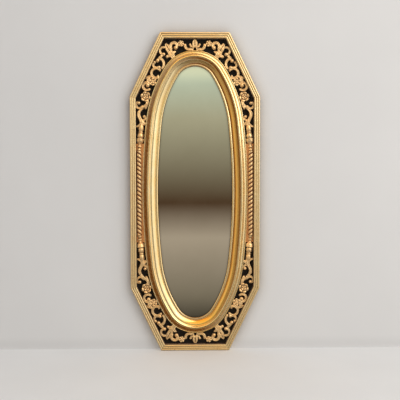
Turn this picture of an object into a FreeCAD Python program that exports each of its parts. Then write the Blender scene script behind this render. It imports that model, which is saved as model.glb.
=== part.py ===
import FreeCAD, Part
import math
import os

# Octagonal gilt wall mirror: a reeded outer frame, an oval moulding and a pierced scroll fret between them.
# Millimetres. X to the right, Z up, the wall is the plane Y = 0 and the front faces -Y.
# The origin is the middle of the frame on the wall.

os.makedirs("parts", exist_ok=True)
Vec = FreeCAD.Vector
UP = Vec(0, 0, 1)
RIGHT = Vec(1, 0, 0)
TO_WALL = Vec(0, 1, 0)
CENTRE = Vec(0, 0, 0)

# Outer frame
frame_width = 490.0
frame_height = 1204.0
corner_cut_across = 115.0
corner_cut_down = 240.0
rail_width = 22.0
rail_wall = 19.5
reed_rise = 2.0
reed_count = 3
bumper_thickness = 7.0
bumper_radius = 8.0
bumper_from_corner = 42.0

# Oval moulding, measured inwards from its outer edge and up from its back
gap_side = 23.0
gap_top = 43.5
shoulder_radius = 480.0
shoulder_start = 6.5
shoulder_end = 32.5
edge_wall = 9.0
edge_bead = 4.0
edge_bead_rise = 2.0
cove_radius = 11.5
cove_fillet = 1.2
crest_width = 10.0
crest_foot = 22.0
crest_rise = 4.0
crest_step = 4.5
torus_width = 15.5
torus_foot = 12.5
torus_swell = 2.6
torus_lean = 0.58
sight_fillet = 2.0
sight_bead = 9.0
sight_bead_rise = 2.2
lip_thickness = 2.4
lip_cover = 7.0

# Glass and back
glass_thickness = 4.0
board_thickness = 3.5
glass_clearance = 0.5

# Pierced fret on the strip between oval and rails: along it from the top middle, across it from the oval
fret_floor = 3.0
fret_edge = 3.2
fret_rise = 4.4
rise_per_width = 0.34
shoulder_across = 0.55
shoulder_share = 0.8
ball_lift = 2.6
station_step = 26.0
small_flower_lift = 5.0
rosette_along = 263.0
rosette_across = 20.0
rosette_radius = 19.5
rosette_inner_share = 0.58
rosette_inner_lift = 3.0
rosette_heart_radius = 4.6
rosette_heart_lift = 8.5

# Rope column with its web and turned balusters
web_height = 9.0
rope_radius = 7.0
rope_valley = 4.9
rope_strands = 3
lobe_pitch = 10.0
rope_half_length = 160.0
baluster_top_along = 366.0
baluster_top_across = 16.0

# Hanging hardware
hanger_along = 300.0
hanger_inset = 22.0
strap_width = 12.0
strap_length = 42.0
strap_thickness = 1.2
ring_wire_radius = 1.6
ring_bend_radius = 11.0
ring_fit = 0.05
barrel_height = 3.4
screw_head_radius = 3.5
screw_head_height = 1.8
screw_shank_radius = 1.7
screw_length = 12.0
screw_first = 18.0
screw_spacing = 16.0
screw_fit = 0.05

# Turn buttons that keep the back board in
button_length = 34.0
button_width = 11.0
button_thickness = 1.5
button_pivot_from_end = 8.0
button_inset = 40.0
button_gap = 0.3
button_screw_radius = 2.2
button_head_radius = 4.0
button_fit = 0.05
button_stations = (150.0, 480.0)

# Worked out from the sizes above
half_width = frame_width / 2
half_height = frame_height / 2
oval_half_width = half_width - rail_width - gap_side
oval_half_height = half_height - rail_width - gap_top
back_y = -bumper_thickness
rabbet_depth = glass_thickness + board_thickness
fret_top = rail_wall + reed_rise


def point(x, rise, z):
    """A point at a height above the frame's back."""
    return Vec(x, back_y - rise, z)


def line(start, end):
    return Part.LineSegment(start, end).toShape()


def arc(start, middle, end):
    return Part.Arc(start, middle, end).toShape()


def polygon_face(points):
    return Part.Face(Part.makePolygon(points + [points[0]]))


def prism(face, low, high):
    """A face drawn on the back plane, raised between two heights."""
    low_face = face.copy()
    low_face.translate(Vec(0, -low, 0))
    return low_face.extrude(Vec(0, low - high, 0))


def mirrored(shape, flip_x, flip_z):
    if flip_x:
        shape = shape.mirror(CENTRE, RIGHT)
    if flip_z:
        shape = shape.mirror(CENTRE, UP)
    return shape


def save(name, shape):
    shape.exportStep("parts/" + name + ".step")
    print(name, "solids", len(shape.Solids), "valid", shape.isValid(), "volume", round(shape.Volume, 1))


# Octagon: eight outer corners, clockwise from the top left, seen from the front
cut_x = half_width - corner_cut_across
cut_z = half_height - corner_cut_down
octagon = [(-cut_x, half_height), (cut_x, half_height), (half_width, cut_z), (half_width, -cut_z),
           (cut_x, -half_height), (-cut_x, -half_height), (-half_width, -cut_z), (-half_width, cut_z)]


def side_directions(index):
    """Unit vectors along a side of the octagon and square to it, towards the middle."""
    x1, z1 = octagon[index]
    x2, z2 = octagon[(index + 1) % len(octagon)]
    length = math.hypot(x2 - x1, z2 - z1)
    along = ((x2 - x1) / length, (z2 - z1) / length)
    return along, (along[1], -along[0]), length


def inset_corner(index, inset):
    """Corner of the octagon moved in by the same distance from both its sides."""
    before_in = side_directions(index - 1)[1]
    after_in = side_directions(index)[1]
    scale = inset / (1 + before_in[0] * after_in[0] + before_in[1] * after_in[1])
    x, z = octagon[index]
    return x + scale * (before_in[0] + after_in[0]), z + scale * (before_in[1] + after_in[1])


def inset_polygon(inset):
    return [inset_corner(index, inset) for index in range(len(octagon))]


def rail(index):
    """One mitred rail with a reeded face."""
    along, inwards, length = side_directions(index)
    start_x, start_z = octagon[index]
    origin = point(start_x - along[0] * rail_width, 0, start_z - along[1] * rail_width)
    across = Vec(inwards[0], 0, inwards[1])
    forward = Vec(0, -1, 0)

    def section(inset, rise):
        return origin + across * inset + forward * rise

    reed_width = rail_width / reed_count
    edges = [line(section(0, 0), section(0, rail_wall))]
    for reed in range(reed_count):
        begin = reed * reed_width
        middle = section(begin + reed_width / 2, rail_wall + reed_rise)
        edges.append(arc(section(begin, rail_wall), middle, section(begin + reed_width, rail_wall)))
    edges.append(line(section(rail_width, rail_wall), section(rail_width, 0)))
    edges.append(line(section(rail_width, 0), section(0, 0)))
    bar = Part.Face(Part.Wire(edges)).extrude(Vec(along[0], 0, along[1]) * (length + 2 * rail_width))
    following = (index + 1) % len(octagon)
    wedge = [inset_corner(index, -rail_width), inset_corner(following, -rail_width),
             inset_corner(following, 2 * rail_width), inset_corner(index, 2 * rail_width)]
    wedge_face = polygon_face([point(x, 0, z) for x, z in wedge])
    return bar.common(prism(wedge_face, -1, rail_wall + 2 * reed_rise))


# Oval: an end arc, a shoulder arc and a side arc in each quarter, joined in line
shoulder_low = math.radians(shoulder_start)
shoulder_high = math.radians(shoulder_end)
across_low = math.cos(shoulder_low) - 1
across_high = -math.cos(shoulder_high)
up_low = math.sin(shoulder_low)
up_high = 1 - math.sin(shoulder_high)
need_x = -oval_half_width + shoulder_radius * (math.cos(shoulder_low) - math.cos(shoulder_high))
need_z = oval_half_height + shoulder_radius * (math.sin(shoulder_low) - math.sin(shoulder_high))
determinant = across_low * up_high - across_high * up_low
side_radius = (need_x * up_high - across_high * need_z) / determinant
end_radius = (across_low * need_z - need_x * up_low) / determinant
side_centre_x = oval_half_width - side_radius
shoulder_centre_x = side_centre_x + (side_radius - shoulder_radius) * math.cos(shoulder_low)
shoulder_centre_z = (side_radius - shoulder_radius) * math.sin(shoulder_low)
end_centre_z = oval_half_height - end_radius
end_length = end_radius * (math.pi / 2 - shoulder_high)
shoulder_length = shoulder_radius * (shoulder_high - shoulder_low)


def strip_frame(along):
    """Centre, radius and direction of the oval's edge at a distance from its top middle."""
    if along < end_length:
        return 0.0, end_centre_z, end_radius, math.pi / 2 - along / end_radius
    if along < end_length + shoulder_length:
        turn = shoulder_high - (along - end_length) / shoulder_radius
        return shoulder_centre_x, shoulder_centre_z, shoulder_radius, turn
    turn = shoulder_low - (along - end_length - shoulder_length) / side_radius
    return side_centre_x, 0.0, side_radius, turn


def on_strip(along, across):
    """Place and outward angle at a distance along the strip and out from the oval, upper right quarter."""
    centre_x, centre_z, radius, turn = strip_frame(along)
    reach = radius + across
    return centre_x + reach * math.cos(turn), centre_z + reach * math.sin(turn), turn


def oval_wire(inset, rise):
    """Closed outline of the oval, moved in by a distance, at a height above the back."""
    def at(centre_x, centre_z, radius, turn, flip_x, flip_z):
        x = centre_x + (radius - inset) * math.cos(turn)
        z = centre_z + (radius - inset) * math.sin(turn)
        return point(x * flip_x, rise, z * flip_z)

    def shoulder(turn, flip_x, flip_z):
        return at(shoulder_centre_x, shoulder_centre_z, shoulder_radius, turn, flip_x, flip_z)

    shoulder_middle = (shoulder_low + shoulder_high) / 2
    edges = []
    for flip in (1, -1):
        top = at(0, end_centre_z, end_radius, math.pi / 2, 1, flip)
        edges.append(arc(shoulder(shoulder_high, -1, flip), top, shoulder(shoulder_high, 1, flip)))
        side = at(side_centre_x, 0, side_radius, 0, flip, 1)
        edges.append(arc(shoulder(shoulder_low, flip, 1), side, shoulder(shoulder_low, flip, -1)))
        for flip_z in (1, -1):
            ends = [shoulder(turn, flip, flip_z) for turn in (shoulder_low, shoulder_middle, shoulder_high)]
            edges.append(arc(*ends))
    return Part.Wire(Part.__sortEdges__(edges))


def oval_plate(inset, low, high):
    return prism(Part.Face(oval_wire(inset, 0)), low, high)


cove_start = edge_bead + cove_fillet
cove_end = cove_start + cove_radius
crest_start = cove_end + cove_fillet
crest_end = crest_start + crest_width
torus_start = crest_end + crest_step
torus_end = torus_start + torus_width
torus_top = crest_foot - cove_fillet * 2
sight_start = torus_end + sight_fillet
moulding_width = sight_start + sight_bead
sight_edge_height = rabbet_depth + lip_thickness
glass_inset = moulding_width - lip_cover
rabbet_inset = glass_inset - glass_clearance


def moulding_section(centre_x, centre_z, radius, turn):
    """Cross-section of the oval moulding, standing across the oval."""
    def at(inset, rise):
        reach = radius - inset
        return point(centre_x + reach * math.cos(turn), rise, centre_z + reach * math.sin(turn))

    cove_depth = cove_radius * math.sqrt(0.5)
    cove_top = edge_wall + cove_radius
    torus_middle_in = torus_start + torus_width * torus_lean
    torus_middle_up = (torus_top + torus_foot) / 2 + torus_swell
    edges = [
        line(at(0, 0), at(0, edge_wall)),
        arc(at(0, edge_wall), at(edge_bead / 2, edge_wall + edge_bead_rise), at(edge_bead, edge_wall)),
        line(at(edge_bead, edge_wall), at(cove_start, edge_wall)),
        arc(at(cove_start, edge_wall), at(cove_start + cove_depth, cove_top - cove_depth),
            at(cove_end, cove_top)),
        line(at(cove_end, cove_top), at(crest_start, crest_foot)),
        arc(at(crest_start, crest_foot), at(crest_start + crest_width / 2, crest_foot + crest_rise),
            at(crest_end, crest_foot)),
        line(at(crest_end, crest_foot), at(crest_end + cove_fillet, torus_top)),
        line(at(crest_end + cove_fillet, torus_top), at(torus_start, torus_top)),
        arc(at(torus_start, torus_top), at(torus_middle_in, torus_middle_up), at(torus_end, torus_foot)),
        line(at(torus_end, torus_foot), at(sight_start, sight_edge_height)),
        arc(at(sight_start, sight_edge_height),
            at(sight_start + sight_bead / 2, sight_edge_height + sight_bead_rise),
            at(moulding_width, sight_edge_height)),
        line(at(moulding_width, sight_edge_height), at(moulding_width, rabbet_depth)),
        line(at(moulding_width, rabbet_depth), at(rabbet_inset, rabbet_depth)),
        line(at(rabbet_inset, rabbet_depth), at(rabbet_inset, 0)),
        line(at(rabbet_inset, 0), at(0, 0)),
    ]
    return Part.Face(Part.Wire(edges))


def oval_moulding():
    """The section turned about each arc's centre, all eight stretches joined into one ring."""
    def stretch(centre_x, centre_z, radius, low, high):
        face = moulding_section(centre_x, centre_z, radius, low)
        return face.revolve(point(centre_x, 0, centre_z), Vec(0, -1, 0), math.degrees(high - low))

    end = stretch(0, end_centre_z, end_radius, shoulder_high, math.pi - shoulder_high)
    shoulder = stretch(shoulder_centre_x, shoulder_centre_z, shoulder_radius, shoulder_low, shoulder_high)
    side = stretch(side_centre_x, 0, side_radius, -shoulder_low, shoulder_low)
    parts = [end, mirrored(end, False, True), side, mirrored(side, True, False)]
    for flip_x in (False, True):
        for flip_z in (False, True):
            parts.append(mirrored(shoulder, flip_x, flip_z))
    return parts[0].multiFuse(parts[1:]).removeSplitter()


# Fret ornament
class Quarter:
    """One quarter of the fret, drawn as the upper right one and flipped into its own place."""

    def __init__(self, way_x, way_z):
        self.way_x = way_x
        self.way_z = way_z

    def flipped(self, x, rise, z):
        return point(self.way_x * x, rise, self.way_z * z)

    def ridge_section(self, place, tangent, width, lift=0.0):
        """Closed outline of a carved band: upright edges, two sloping shoulders and a ridge."""
        side = Vec(-tangent.z, 0, tangent.x)
        edge_rise = lift + fret_edge
        ridge_rise = lift + fret_rise + rise_per_width * width
        shoulder_rise = lift + shoulder_share * (ridge_rise - lift)

        def at(across, height):
            corner = place + side * (across * width / 2)
            return self.flipped(corner.x, fret_floor + height, corner.z)

        corners = [at(-1, -1), at(-1, edge_rise), at(-shoulder_across, shoulder_rise), at(0, ridge_rise),
                   at(shoulder_across, shoulder_rise), at(1, edge_rise), at(1, -1)]
        return Part.makePolygon(corners + [corners[0]])

    def scroll(self, along, across, turn_from, turn_to, radius_from, radius_to, width_from, width_to):
        """A band that winds about a centre on the strip, with its radius and width changing evenly."""
        x, z, outward = on_strip(along, across)
        steps = max(3, math.ceil(abs(turn_to - turn_from) / station_step))
        way = math.copysign(1, turn_to - turn_from)
        sections = []
        for step in range(steps + 1):
            share = step / steps
            turn = math.radians(turn_from + share * (turn_to - turn_from)) + outward - math.pi / 2
            radius = radius_from + share * (radius_to - radius_from)
            width = width_from + share * (width_to - width_from)
            place = Vec(x + radius * math.cos(turn), 0, z + radius * math.sin(turn))
            tangent = Vec(-math.sin(turn) * way, 0, math.cos(turn) * way)
            sections.append(self.ridge_section(place, tangent, width))
        return Part.makeLoft(sections, True, False)

    def stem(self, places, widths):
        """A band along a smooth line through a few places on the strip."""
        nodes = []
        for along, across in places:
            x, z = on_strip(along, across)[:2]
            nodes.append(Vec(x, 0, z))
        curve = Part.BSplineCurve()
        curve.interpolate(nodes)
        knots = len(widths) - 1
        steps = 2 * knots
        sections = []
        for step in range(steps + 1):
            share = step / steps
            spot = curve.FirstParameter + share * (curve.LastParameter - curve.FirstParameter)
            first = min(int(share * knots), knots - 1)
            part_way = share * knots - first
            width = widths[first] + part_way * (widths[first + 1] - widths[first])
            sections.append(self.ridge_section(curve.value(spot), Vec(*curve.tangent(spot)[0]), width))
        return Part.makeLoft(sections, True, False)

    def ball(self, along, across, radius, lift=ball_lift):
        x, z = on_strip(along, across)[:2]
        return Part.makeSphere(radius, self.flipped(x, fret_floor + lift, z))

    def petals(self, along, across, count, reach_from, reach_to, widths, lift, first_turn=0.0):
        """Carved petals in a ring about a place on the strip."""
        x, z, outward = on_strip(along, across)
        rings = len(widths) - 1
        pieces = []
        for petal in range(count):
            turn = outward + math.radians(first_turn) + 2 * math.pi * petal / count
            tangent = Vec(math.cos(turn), 0, math.sin(turn))
            sections = []
            for ring, width in enumerate(widths):
                reach = reach_from + (reach_to - reach_from) * ring / rings
                sections.append(self.ridge_section(Vec(x, 0, z) + tangent * reach, tangent, width, lift))
            pieces.append(Part.makeLoft(sections, True, False))
        return pieces


def corner_scrolls(quarter):
    """From the fleur round the corner: foot scroll, flower, two scrolls on a leaf, tulip and its scroll."""
    pieces = [
        quarter.stem([(3, 4), (12, 5), (20, 6)], [9, 10, 11]),
        quarter.scroll(19, 20, -95, 35, 15.5, 14.5, 11, 9),
        quarter.ball(28, 27, 5.5),
        quarter.ball(41, 36, 4.5, small_flower_lift),
        quarter.scroll(63, 35, -10, 235, 16, 8, 11, 11),
        quarter.ball(62, 27, 7.5),
        quarter.stem([(84, 20), (82, 40), (81, 61)], [13, 14, 4]),
        quarter.scroll(99, 44, 205, -65, 12.5, 10, 10, 10),
        quarter.ball(103, 36, 6.8),
        quarter.stem([(86, -3), (86, 10), (86, 26)], [11, 13, 15]),
        quarter.stem([(84, 4), (79, 14), (70, 14)], [10, 10, 6]),
        quarter.stem([(88, 4), (93, 15), (101, 18)], [9, 9, 8]),
        quarter.ball(101, 18, 5.5),
        quarter.stem([(111, 33), (118, 37), (126, 38)], [10, 10, 9]),
        quarter.ball(127, 37, 7.5),
        quarter.scroll(138, 28, 160, 285, 22.5, 24, 10, 9),
    ]
    return pieces + quarter.petals(41, 36, 5, 1.0, 14.0, (3.0, 9.0, 6.0), 0.5)


def shoulder_scrolls(quarter):
    """Along the slanting rail: knot, two scrolls, leaf to the rail, half flower and a C scroll."""
    pieces = [
        quarter.ball(147, 18, 6.8),
        quarter.ball(153, 12, 5.0),
        quarter.scroll(143, 33, 115, -55, 11, 13, 9, 9),
        quarter.ball(140, 43, 5.8),
        quarter.scroll(170, 17, 205, -55, 18, 18, 9, 10.5),
        quarter.ball(176, 6, 4.5),
        quarter.stem([(186, 26), (197, 39), (205, 53)], [10, 10, 8]),
        quarter.scroll(226, 30, -65, 205, 16.5, 11, 8.5, 12),
        quarter.ball(222, 27, 7.8),
        quarter.stem([(212, 27), (206, 33), (196, 32)], [10, 12, 11]),
        quarter.ball(204, 14, 5.0, small_flower_lift),
    ]
    return pieces + quarter.petals(204, 14, 6, 1.0, 14.0, (3.0, 9.5, 6.0), 0.0, 30.0)


def side_scrolls(quarter):
    """Beside the upright rail: leaf, hooked scroll, S scroll and the leaves above the baluster."""
    return [
        quarter.stem([(272, 9), (288, 9), (304, 12)], [9, 13, 5]),
        quarter.stem([(286, 12), (295, 19), (304, 22)], [6, 9, 9]),
        quarter.scroll(297, 37, -75, 140, 14, 11, 10, 9),
        quarter.ball(290, 42, 7.0),
        quarter.stem([(300, 14), (308, 22), (318, 31)], [8, 10, 10]),
        quarter.scroll(327, 13, 125, 45, 20, 20, 9, 9),
        quarter.stem([(339, 29), (352, 19), (368, 14)], [9, 10, 13]),
        quarter.ball(331, 9, 6.6),
        quarter.stem([(332, 3), (342, 9), (350, 17)], [8, 8, 9]),
        quarter.stem([(348, 17), (356, 9), (364, 0)], [8, 10, 7]),
        quarter.stem([(360, 19), (371, 25), (376, 42)], [9, 9, 6]),
    ]


def rosette_pieces(quarter):
    """Open rose: an outer ring of petals, a higher inner ring and a round heart."""
    place = (rosette_along, rosette_across)
    pieces = quarter.petals(*place, 7, 3.0, rosette_radius, (5.0, 13.0, 9.0), 0.0)
    inner_reach = rosette_inner_share * rosette_radius
    pieces += quarter.petals(*place, 5, 1.5, inner_reach, (4.0, 9.0, 5.0), rosette_inner_lift, 36.0)
    pieces.append(quarter.ball(*place, rosette_heart_radius, rosette_heart_lift))
    return pieces


def fleur_pieces(quarter):
    """Bud between two curled leaves on a collar, at the top middle."""
    pieces = [
        quarter.stem([(0, 14), (0, 31), (0, 44)], [12, 19, 7]),
        quarter.stem([(-13, 14), (0, 15), (13, 14)], [7, 9, 7]),
        quarter.stem([(0, -2), (0, 6), (0, 14)], [17, 11, 13]),
    ]
    for way in (-1, 1):
        pieces.append(quarter.stem([(way * 4, 15), (way * 10, 21), (way * 14, 27)], [7, 8, 7]))
        pieces.append(quarter.ball(way * 14, 28, 4.6))
    return pieces


# Baluster, turned about a leaning axis: distance from its foot, radius there, swell of the stretch before it
baluster_turning = (
    (8.0, 6.5, 1.4), (11.0, 5.5, 0.0), (13.0, 8.0, 0.0), (17.0, 8.0, 1.5), (19.0, 6.2, 0.0),
    (27.0, 7.5, -1.0), (40.0, 14.5, 2.6), (44.0, 14.0, 0.8), (45.0, 9.0, 0.0), (64.0, 7.5, 3.4),
    (65.0, 8.6, 0.0), (68.5, 8.6, 0.8), (69.5, 7.5, 0.0), (94.0, 6.0, 3.0))
baluster_foot_radius = 6.5
baluster_axis_height = 6.0
web_past_rope = 27.0

rope_x = half_width - rail_width - gap_side / 2
web_half_length = rope_half_length + web_past_rope


def strip_face():
    """The flat band between the rails and the oval."""
    rails_inside = polygon_face([point(x, 0, z) for x, z in inset_polygon(rail_width)])
    return rails_inside.cut(Part.Face(oval_wire(0, 0)))


def right_box(low_z, high_z):
    """The right half of the space in front of the back, between two heights."""
    corner = point(0, fret_top, low_z)
    return Part.makeBox(half_width, fret_top, high_z - low_z, corner)


def baluster_piece():
    """Collars, cup and two vases, turned as one."""
    top_x, top_z = on_strip(baluster_top_along, baluster_top_across)[:2]
    foot = point(rope_x, baluster_axis_height, rope_half_length)
    top = point(top_x, baluster_axis_height, top_z)
    axis = top - foot
    stretch = axis.Length / baluster_turning[-1][0]
    axis.normalize()
    side = Vec(axis.z, 0, -axis.x)

    def at(distance, radius):
        return foot + axis * (distance * stretch) + side * radius

    edges = [line(at(0, 0), at(0, baluster_foot_radius))]
    last = (0.0, baluster_foot_radius)
    for distance, radius, swell in baluster_turning:
        if swell:
            middle = at((last[0] + distance) / 2, (last[1] + radius) / 2 + swell)
            edges.append(arc(at(*last), middle, at(distance, radius)))
        else:
            edges.append(line(at(*last), at(distance, radius)))
        last = (distance, radius)
    edges.append(line(at(*last), at(last[0], 0)))
    edges.append(line(at(last[0], 0), at(0, 0)))
    return Part.Face(Part.Wire(edges)).revolve(foot, axis, 360)


def rope_piece():
    """Strands twisted about an upright axis, cut in half on the web."""
    lobes = round(2 * rope_half_length / lobe_pitch)
    steps_per_lobe = 3
    sections = []
    for step in range(lobes * steps_per_lobe + 1):
        z = -rope_half_length + 2 * rope_half_length * step / (lobes * steps_per_lobe)
        twist = 2 * math.pi / rope_strands * step / steps_per_lobe
        corners = []
        for corner in range(2 * rope_strands):
            turn = twist + math.pi * corner / rope_strands
            radius = rope_valley if corner % 2 else rope_radius
            corners.append(point(rope_x + radius * math.cos(turn), web_height + radius * math.sin(turn), z))
        sections.append(Part.makePolygon(corners + [corners[0]]))
    front_corner = point(rope_x - 2 * rope_radius, web_height + 2 * rope_radius, -rope_half_length)
    front_half = Part.makeBox(4 * rope_radius, 2 * rope_radius, 2 * rope_half_length, front_corner)
    return Part.makeLoft(sections, True, True).common(front_half)


# Hanging hardware on the back
hanger_x, hanger_z = on_strip(hanger_along, -hanger_inset)[:2]
barrel_y = back_y + barrel_height
strap_back_y = back_y + strap_thickness
screw_places = [hanger_z - screw_first, hanger_z - screw_first - screw_spacing]


def peg(x, z, from_y, to_y, radius):
    """Round bar square to the wall."""
    return Part.makeCylinder(radius, to_y - from_y, Vec(x, from_y, z), TO_WALL)


def strap_piece():
    """Screwed plate with a rolled barrel at its upper end."""
    plate = Part.makeBox(strap_width, strap_thickness, strap_length,
                         Vec(hanger_x - strap_width / 2, back_y, hanger_z - strap_length))
    plate = plate.makeFillet(strap_width / 3, [edge for edge in plate.Edges if is_lower_corner(edge)])
    barrel_from = Vec(hanger_x - strap_width / 2, barrel_y, hanger_z)
    bore_radius = ring_wire_radius + ring_fit
    barrel = Part.makeCylinder(bore_radius + strap_thickness, strap_width, barrel_from, RIGHT)
    strap = plate.fuse(barrel).cut(Part.makeCylinder(bore_radius, strap_width, barrel_from, RIGHT))
    for z in screw_places:
        strap = strap.cut(peg(hanger_x, z, back_y, strap_back_y, screw_shank_radius + screw_fit))
    return strap


def is_lower_corner(edge):
    """True for the two short upright edges at the strap's lower end."""
    low = min(vertex.Z for vertex in edge.Vertexes)
    high = max(vertex.Z for vertex in edge.Vertexes)
    across = abs(edge.Vertexes[0].X - edge.Vertexes[-1].X)
    return high < hanger_z - strap_length + strap_thickness and across < strap_thickness and low == high


def hanging_ring():
    """D-shaped wire ring with its straight bar in the barrel, hanging down."""
    left = Vec(hanger_x - ring_bend_radius, barrel_y, hanger_z)
    right = Vec(hanger_x + ring_bend_radius, barrel_y, hanger_z)
    bar = Part.makeCylinder(ring_wire_radius, 2 * ring_bend_radius, left, RIGHT)
    circle = Part.Face(Part.Wire(Part.makeCircle(ring_wire_radius, left, UP)))
    bow = circle.revolve(Vec(hanger_x, barrel_y, hanger_z), Vec(0, -1, 0), 180)
    bends = [Part.makeSphere(ring_wire_radius, place) for place in (left, right)]
    return bar.multiFuse([bow] + bends)


def hanger_screws():
    screws = []
    for z in screw_places:
        shank = peg(hanger_x, z, strap_back_y - screw_length, strap_back_y, screw_shank_radius)
        head = peg(hanger_x, z, strap_back_y, strap_back_y + screw_head_height, screw_head_radius)
        screws.append(shank.fuse(head).removeSplitter())
    return screws


# Turn buttons: four near the shoulders and sides of each half
button_front_y = back_y + button_gap
button_back_y = button_front_y + button_thickness
button_head_y = button_back_y + button_gap
button_half = button_width / 2


def button_piece(along):
    """Flat finger with round ends, turned in over the back board."""
    x, z, outward = on_strip(along, -button_inset)
    inward = Vec(-math.cos(outward), 0, -math.sin(outward))
    side = Vec(-inward.z, 0, inward.x)
    pivot = Vec(x, button_front_y, z)
    back_end = button_half - button_pivot_from_end
    front_end = button_length - button_pivot_from_end - button_half

    def at(forward, across):
        return pivot + inward * forward + side * across

    outline = Part.Wire([
        line(at(back_end, -button_half), at(front_end, -button_half)),
        arc(at(front_end, -button_half), at(front_end + button_half, 0), at(front_end, button_half)),
        line(at(front_end, button_half), at(back_end, button_half)),
        arc(at(back_end, button_half), at(back_end - button_half, 0), at(back_end, -button_half)),
    ])
    plate = Part.Face(outline).extrude(TO_WALL * button_thickness)
    return plate.cut(peg(x, z, button_front_y, button_back_y, button_screw_radius + button_fit))


def button_screw(along):
    x, z = on_strip(along, -button_inset)[:2]
    shank = peg(x, z, button_head_y - screw_length, button_head_y, button_screw_radius)
    head = peg(x, z, button_head_y, button_head_y + screw_head_height, button_head_radius)
    return shank.fuse(head).removeSplitter()


def screw_bores():
    """Holes in the oval moulding's back for every screw of the right upper quarter."""
    bores = []
    for z in screw_places:
        bores.append(peg(hanger_x, z, strap_back_y - screw_length, back_y, screw_shank_radius + screw_fit))
    for along in button_stations:
        x, z = on_strip(along, -button_inset)[:2]
        bores.append(peg(x, z, button_head_y - screw_length, back_y, button_screw_radius + screw_fit))
    return bores


# Build and save
rail_names = ("rail_top", "rail_top_right", "rail_right", "rail_bottom_right",
              "rail_bottom", "rail_bottom_left", "rail_left", "rail_top_left")
for index, name in enumerate(rail_names):
    save(name, rail(index))

hanger_bores = [mirrored(bore, flip_x, False) for bore in screw_bores() for flip_x in (False, True)]
lower_bores = [mirrored(bore, flip_x, True) for bore in screw_bores()[2:] for flip_x in (False, True)]
save("oval_moulding", oval_moulding().cut(hanger_bores + lower_bores))
save("mirror_glass", oval_plate(glass_inset, board_thickness, rabbet_depth))
save("back_board", oval_plate(glass_inset, 0, board_thickness))

band = strip_face()
window = prism(band, fret_floor, fret_top)
web = prism(band, fret_floor, web_height).common(right_box(-web_half_length, web_half_length))
rope = rope_piece()
baluster = baluster_piece().common(window.common(right_box(0, half_height))).cut([web, rope])


def carved_run(pieces, neighbours):
    """Bands joined into one run, trimmed to the rails and the oval, and fitted to what it meets."""
    run = pieces[0].multiFuse(pieces[1:]).common(window)
    if neighbours:
        run = run.cut(neighbours)
    return run


fleurs = {}
for level, way_z in (("top", 1), ("bottom", -1)):
    fleurs[level] = carved_run(fleur_pieces(Quarter(1, way_z)), [])
    save("fleur_" + level, fleurs[level])
for flip_x, side_name, way_x in ((False, "right", 1), (True, "left", -1)):
    save("side_web_" + side_name, mirrored(web, flip_x, False))
    save("rope_column_" + side_name, mirrored(rope, flip_x, False))
    for flip_z, level, way_z in ((False, "top", 1), (True, "bottom", -1)):
        quarter = Quarter(way_x, way_z)
        place_name = "_" + level + "_" + side_name
        own_baluster = mirrored(baluster, flip_x, flip_z)
        rosette = carved_run(rosette_pieces(quarter), [])
        corner_run = carved_run(corner_scrolls(quarter), [fleurs[level]])
        shoulder_run = carved_run(shoulder_scrolls(quarter), [corner_run, rosette])
        side_run = carved_run(side_scrolls(quarter), [rosette, own_baluster])
        save("baluster" + place_name, own_baluster)
        save("rosette" + place_name, rosette)
        save("corner_scrolls" + place_name, corner_run)
        save("shoulder_scrolls" + place_name, shoulder_run)
        save("side_scrolls" + place_name, side_run)

strap = strap_piece()
ring = hanging_ring()
screws = hanger_screws()
for flip_x, side_name in ((False, "right"), (True, "left")):
    save("hanger_strap_" + side_name, mirrored(strap, flip_x, False))
    save("hanging_ring_" + side_name, mirrored(ring, flip_x, False))
save("hanger_screws", Part.makeCompound(screws + [mirrored(screw, True, False) for screw in screws]))

button_screws = []
for along, level in zip(button_stations, ("shoulder", "side")):
    for flip_x, side_name in ((False, "right"), (True, "left")):
        for flip_z, height_name in ((False, "upper"), (True, "lower")):
            name = "turn_button_" + height_name + "_" + level + "_" + side_name
            save(name, mirrored(button_piece(along), flip_x, flip_z))
            button_screws.append(mirrored(button_screw(along), flip_x, flip_z))
save("button_screws", Part.makeCompound(button_screws))

bumper_z = cut_z - bumper_from_corner
bumper = peg(half_width - rail_width / 2, bumper_z, back_y, 0, bumper_radius)
bumpers = [mirrored(bumper, flip_x, flip_z) for flip_x in (False, True) for flip_z in (False, True)]
save("wall_bumpers", Part.makeCompound(bumpers))
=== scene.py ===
import math

import bmesh
import bpy
import numpy as np
from mathutils import Euler, Matrix, Vector


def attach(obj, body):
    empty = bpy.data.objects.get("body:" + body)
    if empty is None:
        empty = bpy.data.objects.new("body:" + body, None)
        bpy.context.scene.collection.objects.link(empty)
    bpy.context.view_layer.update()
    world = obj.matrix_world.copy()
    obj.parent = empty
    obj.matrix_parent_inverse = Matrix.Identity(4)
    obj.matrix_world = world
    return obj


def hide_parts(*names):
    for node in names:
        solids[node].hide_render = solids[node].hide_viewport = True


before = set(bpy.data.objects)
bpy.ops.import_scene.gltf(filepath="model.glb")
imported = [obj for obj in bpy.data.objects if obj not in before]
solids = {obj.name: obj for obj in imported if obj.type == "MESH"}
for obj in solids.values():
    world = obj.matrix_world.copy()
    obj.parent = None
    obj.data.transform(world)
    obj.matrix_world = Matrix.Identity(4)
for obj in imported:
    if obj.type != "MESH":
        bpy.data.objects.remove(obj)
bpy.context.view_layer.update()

MM = 0.001

# Sizes of the solids, in millimetres
half_width, half_height = 245.0, 602.0
cut_across, cut_down = 115.0, 240.0
rail_width = 22.0
gap_side, gap_top = 23.0, 43.5
shoulder_radius = 480.0
# Outward angles at which the oval's side arc meets the shoulder arc, and that meets the end arc
side_turn, shoulder_turn = math.radians(6.5), math.radians(32.5)
back_y = -7.0
fret_floor = 3.0

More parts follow.
